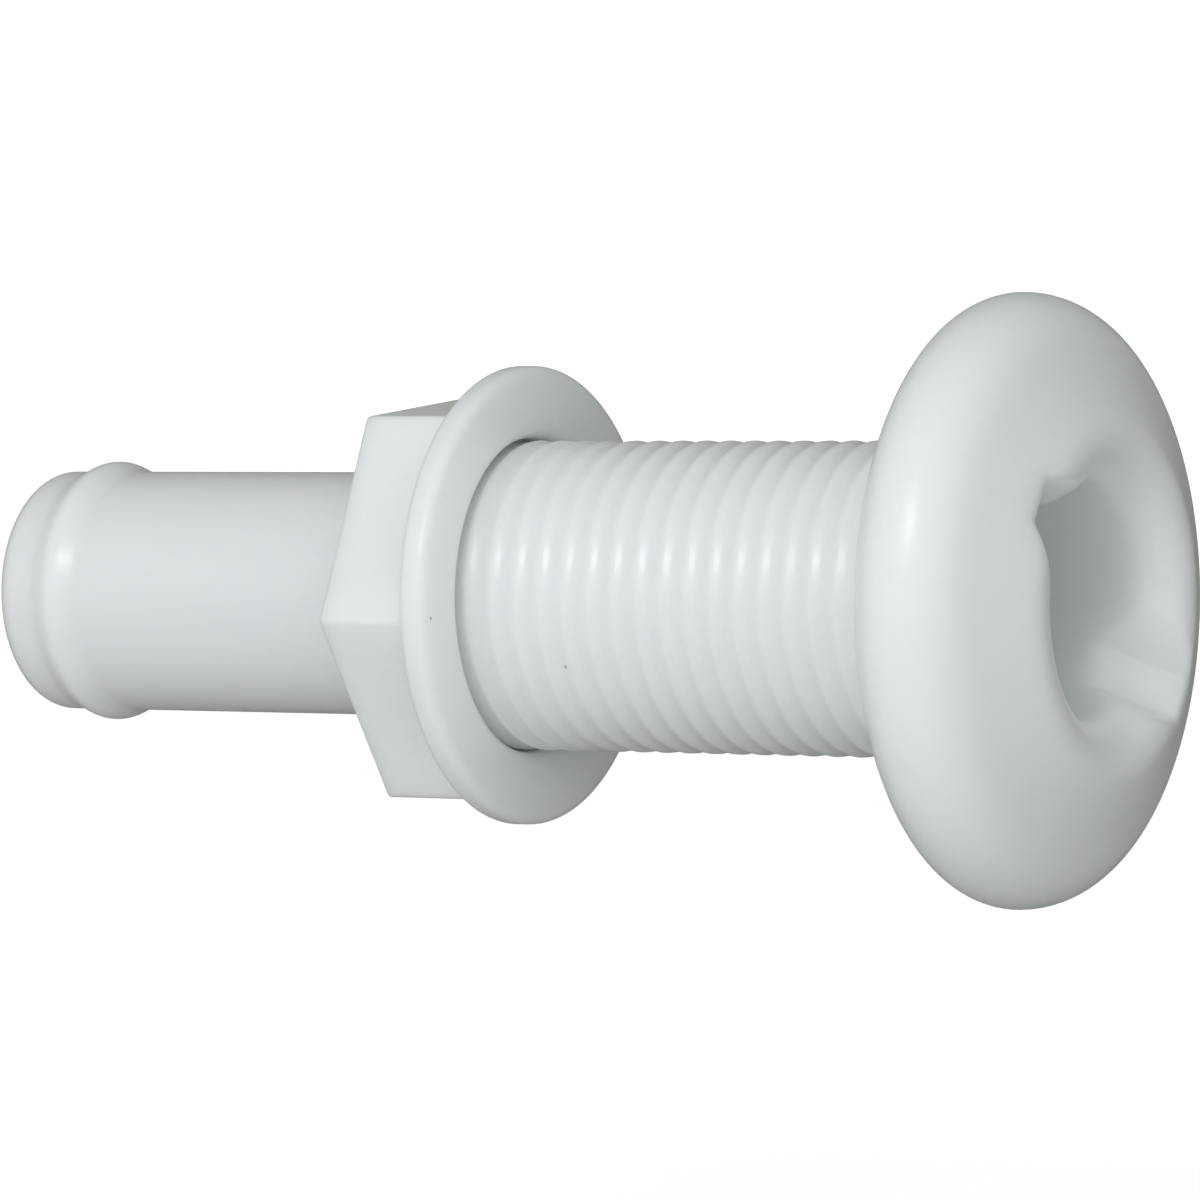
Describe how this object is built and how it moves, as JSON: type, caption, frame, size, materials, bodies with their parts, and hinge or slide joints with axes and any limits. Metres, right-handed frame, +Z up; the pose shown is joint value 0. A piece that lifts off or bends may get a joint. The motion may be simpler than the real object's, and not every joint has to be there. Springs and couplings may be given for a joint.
{
  "type": "thru hull fitting",
  "caption": "Moulded plastic hull outlet with a round flared head, a threaded barrel, a flanged hex nut and a smooth beaded stub for a hose.",
  "frame": {"origin": "on the fitting's axis, in the plane of the head's flat seat, where the outside of the hull lies", "axes": "+X along the axis, from the hose stub out through the mouth; +Z up; the two tool notches lie on a diameter turned 33 degrees about X from -Y up towards +Z"},
  "size_m": [0.1424, 0.0692, 0.0692],
  "materials": {
    "body_plastic": "glossy natural white, slightly translucent",
    "nut_plastic": "satin natural white, slightly translucent"
  },
  "bodies": {
    "fitting": {"fitting_body": "body_plastic"},
    "nut": {"flanged_nut": "nut_plastic"}
  },
  "joints": [
    {"name": "nut_travel", "type": "slide", "parent": "fitting", "child": "nut", "axis": [1, 0, 0], "range_m": [-0.009, 0.056]}
  ]
}
